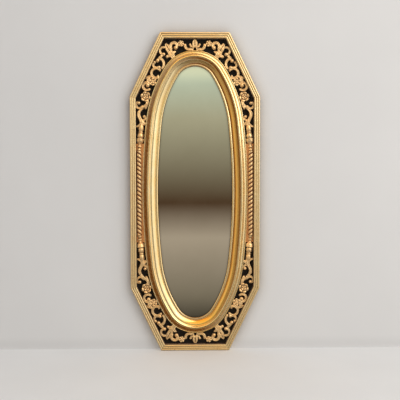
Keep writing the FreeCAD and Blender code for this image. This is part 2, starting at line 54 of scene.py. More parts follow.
# Oval: end, shoulder and side arcs
oval_x = half_width - rail_width - gap_side
oval_z = half_height - rail_width - gap_top
a1, a2 = math.cos(side_turn) - 1, -math.cos(shoulder_turn)
b1, b2 = math.sin(side_turn), 1 - math.sin(shoulder_turn)
need_x = -oval_x + shoulder_radius * (math.cos(side_turn) - math.cos(shoulder_turn))
need_z = oval_z + shoulder_radius * (math.sin(side_turn) - math.sin(shoulder_turn))
side_radius = (need_x * b2 - a2 * need_z) / (a1 * b2 - a2 * b1)
end_radius = (a1 * need_z - need_x * b1) / (a1 * b2 - a2 * b1)
side_x = oval_x - side_radius
shoulder_x = side_x + (side_radius - shoulder_radius) * math.cos(side_turn)
shoulder_z = (side_radius - shoulder_radius) * math.sin(side_turn)
end_z = oval_z - end_radius
end_length = end_radius * (math.pi / 2 - shoulder_turn)
shoulder_length = shoulder_radius * (shoulder_turn - side_turn)


def on_strip(along, across):
    """Place and outward angle at a distance along the strip and out from the oval, upper right quarter."""
    if along < end_length:
        cx, cz, radius, turn = 0.0, end_z, end_radius, math.pi / 2 - along / end_radius
    elif along < end_length + shoulder_length:
        cx, cz, radius = shoulder_x, shoulder_z, shoulder_radius
        turn = shoulder_turn - (along - end_length) / shoulder_radius
    else:
        cx, cz, radius = side_x, 0.0, side_radius
        turn = side_turn - (along - end_length - shoulder_length) / side_radius
    reach = radius + across
    return cx + reach * math.cos(turn), cz + reach * math.sin(turn), turn


# Materials
def linear(r, g, b):
    """Screen colour from 0 to 255 as linear light."""
    def one(v):
        v = v / 255
        return v / 12.92 if v <= 0.04045 else ((v + 0.055) / 1.055) ** 2.4
    return one(r), one(g), one(b), 1.0


class Graph:
    """Short hand for building a node tree."""

    def __init__(self, tree):
        self.tree = tree

    def join(self, source, target):
        self.tree.links.new(source, target)

    def put(self, target, value):
        if hasattr(value, "is_output"):
            self.join(value, target)
        else:
            target.default_value = value

    def ramp(self, value, stops):
        node = self.tree.nodes.new("ShaderNodeValToRGB")
        elements = node.color_ramp.elements
        while len(elements) > 1:
            elements.remove(elements[-1])
        for index, (place, colour) in enumerate(stops):
            element = elements[0] if index == 0 else elements.new(place)
            element.position = place
            element.color = colour if len(colour) == 4 else (*colour, 1.0)
        self.join(value, node.inputs[0])
        return node.outputs[0]

    def spread(self, value, low_in, high_in, low_out=0.0, high_out=1.0, smooth=False):
        node = self.tree.nodes.new("ShaderNodeMapRange")
        if smooth:
            node.interpolation_type = "SMOOTHSTEP"
        node.inputs["From Min"].default_value = low_in
        node.inputs["From Max"].default_value = high_in
        node.inputs["To Min"].default_value = low_out
        node.inputs["To Max"].default_value = high_out
        self.join(value, node.inputs["Value"])
        return node.outputs[0]

    def math(self, kind, first, second=0.0):
        node = self.tree.nodes.new("ShaderNodeMath")
        node.operation = kind
        self.put(node.inputs[0], first)
        self.put(node.inputs[1], second)
        return node.outputs[0]

    def mix(self, factor, first, second, kind="MIX"):
        node = self.tree.nodes.new("ShaderNodeMix")
        node.data_type = "RGBA"
        node.blend_type = kind
        self.put(node.inputs[0], factor)
        self.put(node.inputs[6], first)
        self.put(node.inputs[7], second)
        return node.outputs[2]

    def occlusion(self, distance):
        node = self.tree.nodes.new("ShaderNodeAmbientOcclusion")
        node.samples = 8
        node.inputs["Distance"].default_value = distance
        return node.outputs["AO"]

    def attribute(self, name):
        node = self.tree.nodes.new("ShaderNodeAttribute")
        node.attribute_name = name
        return node.outputs["Fac"]

    def parts(self, vector):
        node = self.tree.nodes.new("ShaderNodeSeparateXYZ")
        self.join(vector, node.inputs[0])
        return node.outputs[0], node.outputs[1], node.outputs[2]


class Look(Graph):
    """A material with one principled shader."""

    def __init__(self, name):
        self.material = bpy.data.materials.new(name)
        self.material.use_nodes = True
        super().__init__(self.material.node_tree)
        self.tree.nodes.clear()
        self.out = self.tree.nodes.new("ShaderNodeOutputMaterial")
        self.shader = self.tree.nodes.new("ShaderNodeBsdfPrincipled")
        self.join(self.shader.outputs[0], self.out.inputs["Surface"])
        self.coords = self.tree.nodes.new("ShaderNodeTexCoord").outputs["Object"]

    def noise(self, scale, detail, stretch=None, rough=0.55):
        vector = self.coords
        if stretch is not None:
            turn, factors = stretch
            mapping = self.tree.nodes.new("ShaderNodeMapping")
            mapping.vector_type = "POINT"
            mapping.inputs["Rotation"].default_value = turn
            mapping.inputs["Scale"].default_value = factors
            self.join(vector, mapping.inputs["Vector"])
            vector = mapping.outputs[0]
        node = self.tree.nodes.new("ShaderNodeTexNoise")
        node.inputs["Scale"].default_value = scale
        node.inputs["Detail"].default_value = detail
        node.inputs["Roughness"].default_value = rough
        self.join(vector, node.inputs["Vector"])
        return node.outputs["Fac"]

    def bump(self, height, strength, distance):
        node = self.tree.nodes.new("ShaderNodeBump")
        node.inputs["Strength"].default_value = strength
        node.inputs["Distance"].default_value = distance
        self.join(height, node.inputs["Height"])
        self.join(node.outputs[0], self.shader.inputs["Normal"])

    def set(self, **values):
        for name, value in values.items():
            self.put(self.shader.inputs[name.replace("_", " ")], value)


# Brown glaze with painted shade, for the hollows
GLAZE_AND_SHADE = linear(84, 46, 12)
# The ring's glaze with painted shade, and the painted warm reflection on its torus
RING_GLAZE_AND_SHADE, RING_WARM_REFLECTION = linear(132, 76, 0), linear(255, 203, 112)
# The rope's glaze with painted shade in its valleys
ROPE_GLAZE_AND_SHADE = linear(104, 42, 6)
# Painted highlight, partly rubbed wear, for raised edges
WORN_AND_HIGHLIGHT = linear(255, 234, 188)
PALE_WOOD, DARK_WOOD = linear(172, 130, 88), linear(138, 98, 62)
# Depths in front of the wall, in metres, between which a low part of the fret gets painted shade
LOW_FRET, HIGH_FRET = -0.0115, -0.0165
# Pointiness between which a crease gets painted shade, and between which a raised edge gets a painted highlight,
# partly rubbed wear
CREASE_FROM, CREASE_FULL = 0.487, 0.455
RUBBED_HIGHLIGHT_FROM, RUBBED_HIGHLIGHT_FULL = 0.515, 0.555
# A low specular level, because the sheen comes from the metal
LEAF_SPECULAR = 0.15


def gilding(name, light, mid, deep, painted_shade_reach=0.006, grain_turn=None, recess=False, metal=0.75, rough=0.26,
            low_shade=0.0, grit=0.22, speckle=0.22, crease=False, glaze_shade_tone=GLAZE_AND_SHADE, warm_reflection_tone=None):
    """Leaf gilding with brown glaze and painted shade in the hollows, a painted highlight, partly rubbed wear, on
    raised edges, an optional painted warm reflection, faint patches, fine brush grain and a bare wood back.
    """
    n = Look(name)
    patches = n.noise(26.0, 3.0)
    colour = n.ramp(patches, [(0.25, mid), (0.80, light)])
    if grain_turn is not None:
        streaks = n.noise(420.0, 3.0, ((0.0, grain_turn, 0.0), (0.03, 1.0, 1.0)))
        colour = n.mix(n.spread(streaks, 0.40, 0.72, 0.0, 0.40), colour, deep)
    else:
        streaks = n.noise(900.0, 3.0)
        colour = n.mix(n.spread(streaks, 0.52, 0.80, 0.0, speckle), colour, deep)
    # Painted warm reflection, where the attribute gives it
    if warm_reflection_tone:
        colour = n.mix(n.attribute("warmth"), colour, warm_reflection_tone)
    # Glaze with painted shade: the recess attribute, and painted shade from occlusion within the reach
    hollow = n.attribute("recess") if recess else 0.0
    if painted_shade_reach:
        hollow = n.math("MAXIMUM", hollow, n.spread(n.occlusion(painted_shade_reach), 0.35, 0.90, 1.0, 0.0))
    geometry = n.tree.nodes.new("ShaderNodeNewGeometry")
    # Painted shade in creases, and a painted highlight, partly rubbed wear, on raised edges
    if crease:
        pointed = geometry.outputs["Pointiness"]
        hollow = n.math("MAXIMUM", hollow, n.spread(pointed, CREASE_FROM, CREASE_FULL))
        colour = n.mix(n.spread(pointed, RUBBED_HIGHLIGHT_FROM, RUBBED_HIGHLIGHT_FULL, 0.0, 0.8), colour, WORN_AND_HIGHLIGHT)
    # Painted shade on the low parts of the bands, near the back
    if low_shade:
        depth = n.parts(n.coords)[1]
        hollow = n.math("MAXIMUM", hollow, n.spread(depth, HIGH_FRET, LOW_FRET, 0.0, low_shade))
    uneven = n.spread(n.noise(160.0, 3.0), 0.3, 0.7, 0.88, 1.06)
    # Glaze with painted shade, mixed over the colour and dulling the metal
    glaze_and_shade = n.math("MULTIPLY", hollow, uneven)
    colour = n.mix(glaze_and_shade, colour, glaze_shade_tone)
    facing_wall = n.spread(n.parts(geometry.outputs["True Normal"])[1], 0.90, 0.97)
    grain = n.noise(60.0, 6.0, ((0.0, 0.0, 0.0), (1.0, 1.0, 0.06)))
    wood = n.mix(n.spread(grain, 0.35, 0.65), PALE_WOOD, DARK_WOOD)
    colour = n.mix(facing_wall, colour, wood)
    n.set(Base_Color=colour)
    leaf = n.math("SUBTRACT", 1.0, facing_wall)
    n.set(Metallic=n.math("MULTIPLY", leaf, n.spread(glaze_and_shade, 0.0, 1.0, metal, 0.0)))
    polish = n.spread(n.noise(240.0, 4.0), 0.3, 0.7, rough, rough + 0.10)
    dull = n.math("MULTIPLY", n.math("MAXIMUM", glaze_and_shade, facing_wall), 0.25)
    n.set(Roughness=n.math("ADD", polish, dull))
    n.set(Specular_IOR_Level=LEAF_SPECULAR)
    n.bump(n.math("ADD", streaks, n.noise(1500.0, 2.0)), grit, 0.0004)
    return n.material


slant = math.atan2(cut_down, cut_across)
RING_TONES = (linear(255, 238, 194), linear(255, 227, 168), linear(228, 174, 96))
FRET_TONES = (linear(255, 224, 172), linear(252, 206, 146), linear(214, 150, 84))
RAIL_TONES = (linear(255, 236, 188), linear(255, 224, 170), linear(224, 174, 112))
WEB_TONES = (linear(236, 170, 108), linear(222, 148, 86), linear(172, 98, 48))
gilt_ring = gilding("gilt_ring", *RING_TONES, painted_shade_reach=0.0, recess=True, metal=0.95, rough=0.13, grit=0.10,
                    speckle=0.08, glaze_shade_tone=RING_GLAZE_AND_SHADE, warm_reflection_tone=RING_WARM_REFLECTION)
gilt_fret = gilding("gilt_fret", *FRET_TONES, painted_shade_reach=0.007, metal=0.66, rough=0.25, low_shade=0.9, crease=True)
gilt_rope = gilding("gilt_rope", *FRET_TONES, recess=True, metal=0.6, glaze_shade_tone=ROPE_GLAZE_AND_SHADE)
gilt_web = gilding("gilt_web", *WEB_TONES, painted_shade_reach=0.005, metal=0.4)
gilt_rails = {grain: gilding("gilt_rail_" + grain, *RAIL_TONES, painted_shade_reach=0.0025, grain_turn=turn, recess=True)
              for grain, turn in (("level", 0.0), ("upright", math.pi / 2), ("falling", slant), ("rising", -slant))}


def mirror_material():
    n = Look("silvered_glass")
    haze = n.noise(9.0, 5.0)
    silver = n.ramp(haze, [(0.3, (0.86, 0.87, 0.84)), (0.7, (0.91, 0.92, 0.90))])
    by_lip = n.spread(n.occlusion(0.010), 0.55, 0.97, 1.0, 0.0)
    lip_shade = linear(60, 44, 22)
    n.set(Base_Color=n.mix(by_lip, silver, lip_shade))
    n.set(Metallic=1.0, Roughness=n.spread(haze, 0.3, 0.7, 0.015, 0.05))
    return n.material


def hardboard_material():
    n = Look("hardboard")
    fibres = n.noise(700.0, 6.0, rough=0.7)
    patches = n.noise(14.0, 3.0)
    colour = n.ramp(fibres, [(0.3, linear(122, 88, 58)), (0.55, linear(152, 114, 78)), (0.8, linear(176, 138, 100))])
    colour = n.mix(n.spread(patches, 0.35, 0.7, 0.0, 0.35), colour, linear(114, 82, 56))
    n.set(Base_Color=colour, Roughness=n.spread(fibres, 0.3, 0.7, 0.62, 0.85))
    n.bump(fibres, 0.4, 0.0004)
    return n.material


def steel_material():
    n = Look("zinc_steel")
    spangle = n.tree.nodes.new("ShaderNodeTexVoronoi")
    spangle.inputs["Scale"].default_value = 260.0
    n.join(n.coords, spangle.inputs["Vector"])
    colour = n.ramp(spangle.outputs["Distance"], [(0.0, (0.56, 0.57, 0.58)), (1.0, (0.72, 0.73, 0.74))])
    scratches = n.noise(1200.0, 2.0, ((0.0, 0.0, 0.0), (1.0, 1.0, 0.05)))
    n.set(Base_Color=colour, Metallic=1.0, Roughness=n.spread(scratches, 0.3, 0.7, 0.26, 0.42))
    n.bump(scratches, 0.15, 0.0002)
    return n.material


def rubber_material():
    n = Look("bumper_rubber")
    dust = n.noise(300.0, 5.0)
    n.set(Base_Color=n.ramp(dust, [(0.35, (0.018, 0.018, 0.018)), (0.75, (0.060, 0.058, 0.055))]))
    n.set(Roughness=n.spread(dust, 0.3, 0.7, 0.55, 0.75))
    n.bump(n.noise(1400.0, 3.0), 0.3, 0.0003)
    return n.material


silvered = mirror_material()
hardboard = hardboard_material()
steel = steel_material()
rubber = rubber_material()


# Meshes
def piece(name, points, faces, material, nodes, slot="gilding", **layers):
    """A smooth mesh from points in millimetres that rides the frame for some nodes, with values at its points."""
    mesh = bpy.data.meshes.new(name)
    mesh.from_pydata([tuple(p) for p in np.asarray(points) * MM], [], faces)
    for layer_name, values in layers.items():
        layer = mesh.attributes.new(layer_name, "FLOAT", "POINT")
        layer.data.foreach_set("value", np.asarray(values, np.float32))
    face_outwards(mesh)
    mesh.shade_smooth()
    mesh.materials.append(material)
    thing = bpy.data.objects.new(name, mesh)
    bpy.context.scene.collection.objects.link(thing)
    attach(thing, "frame")
    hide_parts(*nodes)
    return thing


def face_outwards(mesh):
    made = bmesh.new()
    made.from_mesh(mesh)
    bmesh.ops.recalc_face_normals(made, faces=made.faces)
    made.to_mesh(mesh)
    made.free()


def tube_faces(rows, count, first=0):
    """Faces of a capped tube of rings, each of so many points."""
    faces = []
    for row in range(rows - 1):
        a = first + row * count
        for k in range(count):
            after = (k + 1) % count
            faces.append((a + k, a + after, a + count + after, a + count + k))
    last = first + (rows - 1) * count
    faces.append(tuple(first + k for k in range(count)))
    faces.append(tuple(last + k for k in range(count)))
    return faces


def sharpen_along(mesh, count, corners):
    """Sharp edges along a run of profiles, at some points of the profile."""
    layer = mesh.attributes.new("sharp_edge", "BOOLEAN", "EDGE")
    flags = []
    for edge in mesh.edges:
        first, second = (vertex % count for vertex in edge.vertices)
        flags.append(first == second and first in corners)
    layer.data.foreach_set("value", flags)


def held(value, least, most):
    return min(max(value, least), most)


def arc_through(start, middle, end, count):
    """Points on the circle through three points, the first left out."""
    (x1, y1), (x2, y2), (x3, y3) = start, middle, end
    d = 2 * (x1 * (y2 - y3) + x2 * (y3 - y1) + x3 * (y1 - y2))
    q1, q2, q3 = x1 * x1 + y1 * y1, x2 * x2 + y2 * y2, x3 * x3 + y3 * y3
    cx = (q1 * (y2 - y3) + q2 * (y3 - y1) + q3 * (y1 - y2)) / d
    cy = (q1 * (x3 - x2) + q2 * (x1 - x3) + q3 * (x2 - x1)) / d
    radius = math.hypot(x1 - cx, y1 - cy)
    first = math.atan2(y1 - cy, x1 - cx)
    second = math.atan2(y2 - cy, x2 - cx)
    last = math.atan2(y3 - cy, x3 - cx)
    turn = (last - first) % (2 * math.pi)
    if (second - first) % (2 * math.pi) > turn:
        turn -= 2 * math.pi
    return [(cx + radius * math.cos(first + turn * k / count), cy + radius * math.sin(first + turn * k / count))
            for k in range(1, count + 1)]


def oval_path():
    """Places and outward angles once round the oval, from the top middle clockwise."""
    end_steps, shoulder_steps, side_steps = 24, 14, 7
    side_length = side_radius * side_turn
    marks = [end_length * k / end_steps for k in range(end_steps)]
    marks += [end_length + shoulder_length * k / shoulder_steps for k in range(shoulder_steps)]
    marks += [end_length + shoulder_length + side_length * k / side_steps for k in range(side_steps + 1)]
    quarter = [on_strip(along, 0.0) for along in marks]
    path = list(quarter)
    path += [(x, -z, -turn) for x, z, turn in reversed(quarter[:-1])]
    path += [(-x, -z, math.pi + turn) for x, z, turn in quarter[1:]]
    path += [(-x, z, math.pi - turn) for x, z, turn in reversed(quarter[1:-1])]
    return path


# Where round the oval the glaze and painted shade lie thick, from the cosine and sine of the outward angle
def shade_all_round(across, up):
    return 1.0


def cove_shade(across, up):
    """Painted shade, thick on the left and below, thin on the right and above."""
    return held(0.52 - 0.48 * across - 0.55 * up, 0.12, 1.0)


def groove_shade(across, up):
    """Painted shade, thick above and on the right, thin on the left and below."""
    return held(0.42 + 0.50 * up + 0.50 * across, 0.05, 1.0)


def bead_above_below(across, up):
    """Darker above and below."""
    return up * up


# The torus and its grooves, by distance in from the oval, get a painted warm reflection, a deeper gold on the right
# and below
TORUS_FROM, TORUS_TO = 27.9, 50.0


def torus_warmth(across, up):
    return held(0.45 + 0.60 * across - 0.35 * up, 0.0, 1.0)


def make_moulding():
    """The oval moulding: each profile point is a distance in from the oval and a height off the back."""
    profile = [(0.0, 0.0), (0.0, 9.0)]
    # Each profile point's glaze and painted shade, and how it is weighted round the oval
    glaze_and_shade = [(0.0, shade_all_round), (0.25, shade_all_round)]

    def add(points, values, spread=shade_all_round):
        profile.extend(points)
        glaze_and_shade.extend((value, spread) for value in values)

    add(arc_through((0, 9), (2, 11), (4, 9), 8), [0, 0, 0, 0, 0, 0, 0.15, 0.5])
    add([(5.2, 9.0)], [0.9], cove_shade)
    cove_radius = 11.5
    cove = cove_radius * math.sqrt(0.5)
    add(arc_through((5.2, 9), (5.2 + cove, 20.5 - cove), (16.7, 20.5), 14),
        [1.0] * 9 + [0.95, 0.85, 0.65, 0.4, 0.3], cove_shade)
    add([(17.9, 22.0)], [0.2])
    add(arc_through((17.9, 22), (22.9, 26), (27.9, 22), 14),
        [0.05] + [0.0] * 8 + [0.1, 0.4, 0.8, 1.0, 1.0], groove_shade)
    add([(29.1, 20.3), (30.8, 19.9), (32.4, 19.5)], [1.0, 1.0, 1.0], groove_shade)
    add(arc_through((32.4, 19.5), (40.7, 17.3), (47.9, 12.5), 16),
        [0.75, 0.5, 0.25, 0.1] + [0.0] * 7 + [0.1, 0.35, 0.7, 1.0, 1.0], groove_shade)
    add([(48.9, 11.0), (49.9, 9.9)], [1.0, 1.0], groove_shade)
    add(arc_through((49.9, 9.9), (54.4, 12.1), (58.9, 9.9), 12),
        [0.8, 0.65, 0.5, 0.45, 0.4, 0.45, 0.5, 0.6, 0.7, 0.8, 0.9, 1.0], bead_above_below)
    add([(58.9, 9.2)], [0.9])
    add([(58.9, 7.55), (51.4, 7.55), (51.4, 0.0)], [1.0, 1.0, 0.0])
    path = oval_path()
    points, values, warmth, faces = [], [], [], []
    count = len(profile)
    for x, z, turn in path:
        out = math.cos(turn), math.sin(turn)
        for (inset, rise), (value, spread) in zip(profile, glaze_and_shade):
            points.append((x - inset * out[0], back_y - rise, z - inset * out[1]))
            values.append(value * spread(*out))
            # Painted warm reflection on the torus, by side
            warmth.append(torus_warmth(*out) if TORUS_FROM < inset < TORUS_TO else 0.0)
    for station in range(len(path)):
        a, b = station * count, (station + 1) % len(path) * count
        for k in range(count):
            after = (k + 1) % count
            faces.append((a + k, a + after, b + after, b + k))
    thing = piece("oval_moulding_gilt", points, faces, gilt_ring, ["oval_moulding"], recess=values, warmth=warmth)
    sharpen_along(thing.data, count, {0, 1, count - 5, count - 3, count - 2, count - 1})


make_moulding()


# Rails: three reeds parted by dark grooves, mitred at the octagon's corners
rail_wall, reed_rise, reed_count = 19.5, 2.0, 3
groove_drop, edge_drop = 1.0, 1.5
reed_steps, reed_fullness, reed_share = 10, 0.6, 0.48
mitre_gap, mitre_round = 0.08, 0.4
# Glaze and painted shade in the grooves by steps away from them, at the first and last reed's edge and down the inner
# wall; glaze on the mitres
groove_brown, edge_brown, wall_brown, mitre_brown = {0: 1.0, 1: 0.45}, 0.1, [0.9, 1.0], 0.9
octagon = [(-half_width + cut_across, half_height), (half_width - cut_across, half_height),
           (half_width, half_height - cut_down), (half_width, -half_height + cut_down),
           (half_width - cut_across, -half_height), (-half_width + cut_across, -half_height),
           (-half_width, -half_height + cut_down), (-half_width, half_height - cut_down)]
RAILS = (("rail_top", "level"), ("rail_top_right", "falling"), ("rail_right", "upright"),
         ("rail_bottom_right", "rising"), ("rail_bottom", "level"), ("rail_bottom_left", "falling"),
         ("rail_left", "upright"), ("rail_top_left", "rising"))


def rail_side(index):
    """Start, direction and inward normal of one side of the octagon."""
    start, end = (np.array(octagon[k % 8]) for k in (index, index + 1))
    along = (end - start) / np.linalg.norm(end - start)
    return start, along, np.array([along[1], -along[0]])


def rail_corner(index, inset):
    """Corner of the octagon moved in by a distance."""
    first, along, inwards = rail_side(index - 1)
    second, next_along, next_inwards = rail_side(index)
    ways = np.array([along, -next_along]).T
    share = np.linalg.solve(ways, second + next_inwards * inset - first - inwards * inset)
    return first + inwards * inset + along * share[0]


def make_rails():
    reed = rail_width / reed_count
    edge_rise = rail_wall - edge_drop
    profile, recess = [(0.0, 0.0), (0.0, edge_rise)], [0.0, 0.0]
    for number in range(reed_count):
        for k in range(reed_steps + 1):
            turn = math.pi * k / reed_steps
            rise = rail_wall - groove_drop + (reed_rise + groove_drop) * math.sin(turn) ** reed_fullness
            profile.append((reed * (number + 0.5 - reed_share * math.cos(turn)), rise))
            recess.append(groove_brown.get(min(k, reed_steps - k), 0.0))
    recess[2] = recess[-1] = edge_brown
    profile += [(rail_width, edge_rise), (rail_width, 0.0)]
    recess += wall_brown
    count = len(profile)
    first_groove, second_groove = 1 + reed_steps + 1, 1 + 2 * (reed_steps + 1)
    corners = {0, 1, first_groove, first_groove + 1, second_groove, second_groove + 1, count - 2, count - 1}
    for index, (name, grain) in enumerate(RAILS):
        along = rail_side(index)[1]
        rows = [(index, mitre_gap, mitre_round), (index, mitre_round, 0.0), (index, 3 * mitre_round, 0.0),
                (index + 1, -3 * mitre_round, 0.0), (index + 1, -mitre_round, 0.0),
                (index + 1, -mitre_gap, mitre_round)]
        points, values = [], []
        for corner_index, shift, drop in rows:
            for (inset, rise), value in zip(profile, recess):
                x, z = rail_corner(corner_index, inset) + along * shift
                points.append((x, back_y - max(rise - drop, 0.0), z))
                values.append(max(value, mitre_brown if drop else 0.0))
        faces = tube_faces(len(rows), count)
        thing = piece(name + "_gilt", points, faces, gilt_rails[grain], [name], recess=values)
        sharpen_along(thing.data, count, corners)


make_rails()


# Carved ornament: closed bands, balls and petals, melted together and smoothed
# A band's section: height of its foot, share of the rise at its edges, and how square and full its back is
BAND_FOOT, BAND_EDGE, BAND_SQUARE, BAND_FULLNESS = 1.0, 0.42, 0.85, 0.6
BAND_RISE, RISE_BY_WIDTH = 4.4, 0.40
# The flute down the middle of a band: its depth, the width at which it begins and is full, and its share of the width
FLUTE, FLUTE_BEGINS, FLUTE_GROWS, FLUTE_SHARE = 1.5, 4.5, 3.0, 0.30
# Axes of a round form that faces the room: right, up and forward
FACING = ((1, 0, 0), (0, 0, 1), (0, -1, 0))


def band_rise(width, lift=0.0):
    return lift + BAND_RISE + RISE_BY_WIDTH * width


class Carving:
    """Closed meshes gathered for one carved run, upper right quarter, millimetres."""

    def __init__(self):
        self.points = []
        self.faces = []

    def add_tube(self, rings):
        self.faces += tube_faces(len(rings), len(rings[0]), len(self.points))
        for ring in rings:
            self.points.extend(ring)

    def section(self, x, z, tangent, width, rise):
        """Round-backed band section at a place, across its tangent."""
        side = (-tangent[1], tangent[0])
        flute = FLUTE * held((width - FLUTE_BEGINS) / FLUTE_GROWS, 0.0, 1.0)
        steps = 14
        ring = [(x - side[0] * width / 2, back_y - BAND_FOOT, z - side[1] * width / 2)]
        for k in range(steps + 1):
            turn = math.pi * k / steps
            across = -math.cos(turn)
            across = math.copysign(abs(across) ** BAND_SQUARE, across)
            hollow = flute * math.exp(-(across / FLUTE_SHARE) ** 2)
            swell = BAND_EDGE + (1 - BAND_EDGE) * math.sin(turn) ** BAND_FULLNESS
            height = fret_floor + rise * swell - hollow
            ring.append((x + side[0] * across * width / 2, back_y - height, z + side[1] * across * width / 2))
        ring.append((x + side[0] * width / 2, back_y - BAND_FOOT, z + side[1] * width / 2))
        return ring

    def round_end(self, x, z, width, rise):
        """Rounded end of a band."""
        centre = (x, back_y - fret_floor - 0.3 * rise, z)
        self.ellipsoid(centre, FACING, (width / 2, width / 2, 0.6 * rise))

    def scroll(self, along, across, turn_from, turn_to, radius_from, radius_to, width_from, width_to):
        """Band on a spiral: angles in degrees from the strip's own direction, radii and widths at both ends."""
        x, z, outward = on_strip(along, across)
        steps = max(6, math.ceil(abs(turn_to - turn_from) / 8))
        way = math.copysign(1, turn_to - turn_from)
        rings = []
        for step in range(steps + 1):
            share = step / steps
            turn = math.radians(turn_from + share * (turn_to - turn_from)) + outward - math.pi / 2
            radius = radius_from + share * (radius_to - radius_from)
            width = width_from + share * (width_to - width_from)
            tangent = (-math.sin(turn) * way, math.cos(turn) * way)
            rise = band_rise(width)
            here = (x + radius * math.cos(turn), z + radius * math.sin(turn))
            rings.append(self.section(*here, tangent, width, rise))
            if step in (0, steps):
                self.round_end(*here, width, rise)
        self.add_tube(rings)

    def stem(self, places, widths, lift=0.0):
        """Band through three places, with a width at each."""
        p0, p1, p2 = (np.array(on_strip(*place)[:2]) for place in places)
        steps = 12
        rings = []
        for step in range(steps + 1):
            share = step / steps * 2
            here = p0 * (share - 1) * (share - 2) / 2 - p1 * share * (share - 2) + p2 * share * (share - 1) / 2
            slope = p0 * (2 * share - 3) / 2 - p1 * (2 * share - 2) + p2 * (2 * share - 1) / 2
            slope = slope / np.linalg.norm(slope)
            first = min(int(share), 1)
            width = widths[first] + (share - first) * (widths[first + 1] - widths[first])
            rise = band_rise(width, lift)
            rings.append(self.section(*here, slope, width, rise))
            if step in (0, steps):
                self.round_end(*here, width, rise)
        self.add_tube(rings)

    def ellipsoid(self, centre, axes, radii):
        """Round form with its own three axes."""
        rings = []
        rows, columns = 9, 16
        for row in range(1, rows):
            lat = math.pi * row / rows - math.pi / 2
            ring = []
            for column in range(columns):
                lon = 2 * math.pi * column / columns
                local = (math.cos(lat) * math.cos(lon), math.cos(lat) * math.sin(lon), math.sin(lat))
                ring.append(tuple(centre[i] + sum(local[k] * radii[k] * axes[k][i] for k in range(3))
                                  for i in range(3)))
            rings.append(ring)
        self.add_tube(rings)

    def ball(self, along, across, radius, lift=2.6):
        x, z = on_strip(along, across)[:2]
        self.ellipsoid((x, back_y - fret_floor - lift, z), FACING, (radius, radius, radius))

    def petals(self, along, across, count, reach, length, width, thick, lift, tilt, first_turn=0.0):
        """Cupped petals in a ring, their tips raised by a tilt in degrees."""
        x, z, outward = on_strip(along, across)
        for number in range(count):
            turn = outward + math.radians(first_turn) + 2 * math.pi * number / count
            out = (math.cos(turn), math.sin(turn))
            up = math.radians(tilt)
            forward = (out[0] * math.cos(up), -math.sin(up), out[1] * math.cos(up))
            sideways = (-out[1], 0.0, out[0])
            raised = (-out[0] * math.sin(up), -math.cos(up), -out[1] * math.sin(up))
            centre = (x + out[0] * reach, back_y - fret_floor - lift, z + out[1] * reach)
            self.ellipsoid(centre, (forward, sideways, raised), (length / 2, width / 2, thick / 2))

    def rose(self, along, across, radius):
        """Round rose: a dished ground, a ring of broad petals, an inner ring and a heart."""
        x, z = on_strip(along, across)[:2]
        self.ellipsoid((x, back_y - fret_floor - 1.0, z), FACING, (0.84 * radius, 0.84 * radius, 4.5))
        self.petals(along, across, 6, 0.68 * radius, 0.60 * radius, 0.74 * radius, 6.4, 5.2, 32.0)
        self.petals(along, across, 4, 0.30 * radius, 0.40 * radius, 0.52 * radius, 5.2, 7.4, 40.0, 30.0)
        self.ball(along, across, 0.15 * radius, 8.0)

    def melted(self, voxel, floor=fret_floor):
        """One closed smooth mesh of everything gathered, kept between the rails and the oval."""
        mesh = bpy.data.meshes.new("carving")
        mesh.from_pydata([tuple(p) for p in np.asarray(self.points) * MM], [], self.faces)
        face_outwards(mesh)
        holder = bpy.data.objects.new("carving", mesh)
        bpy.context.scene.collection.objects.link(holder)
        melt = holder.modifiers.new("melt", "REMESH")
        melt.mode = "VOXEL"
        melt.voxel_size = voxel * MM
        soften = holder.modifiers.new("soften", "SMOOTH")
        soften.factor = 0.5
        soften.iterations = 2
        shown = holder.evaluated_get(bpy.context.evaluated_depsgraph_get())
        result = bpy.data.meshes.new_from_object(shown)
        bpy.data.objects.remove(holder)
        count = len(result.vertices)
        spots = np.zeros(count * 3)
        result.vertices.foreach_get("co", spots)
        spots = kept_in_strip(spots.reshape(-1, 3) / MM, floor)
        faces = [tuple(polygon.vertices) for polygon in result.polygons]
        bpy.data.meshes.remove(result)
        return spots, faces


def kept_in_strip(spots, floor):
    """Points moved back between the oval and the rails, and in front of the fret's back."""
    spots = spots.copy()
    spots[:, 1] = np.minimum(spots[:, 1], back_y - floor)
    sign_x, sign_z = np.where(spots[:, 0] < 0, -1.0, 1.0), np.where(spots[:, 2] < 0, -1.0, 1.0)
    x, z = np.abs(spots[:, 0]), np.abs(spots[:, 2])
    slant_in = np.array([-cut_down, -cut_across]) / math.hypot(cut_down, cut_across)
    over = 0.4  # how far the carving goes into the rails and the moulding
    x = np.minimum(x, half_width - rail_width + over)
    z = np.minimum(z, half_height - rail_width + over)
    off = (x - half_width) * slant_in[0] + (z - (half_height - cut_down)) * slant_in[1] - (rail_width - over)
    push = np.where(off < 0, -off, 0.0)
    x, z = x + push * slant_in[0], z + push * slant_in[1]
    end = np.arctan2(z - end_z, x) >= shoulder_turn
    side = np.arctan2(z, x - side_x) <= side_turn
    cx = np.where(end, 0.0, np.where(side, side_x, shoulder_x))
    cz = np.where(end, end_z, np.where(side, 0.0, shoulder_z))
    radius = np.where(end, end_radius, np.where(side, side_radius, shoulder_radius))
    reach = np.hypot(x - cx, z - cz)
    grow = np.maximum(1.0, (radius - over) / np.maximum(reach, 1e-6))
    spots[:, 0] = sign_x * (cx + (x - cx) * grow)
    spots[:, 2] = sign_z * (cz + (z - cz) * grow)
    return spots


def place_run(name, carved, quarters):
    """Copies of a carved run, flipped into their quarters."""
    spots, faces = carved
    for level, way_z, side_name, way_x in quarters:
        own = spots * np.array([way_x, 1.0, way_z])
        node = name + "_" + level + "_" + side_name
        piece(node + "_gilt", own, faces, gilt_fret, [node])


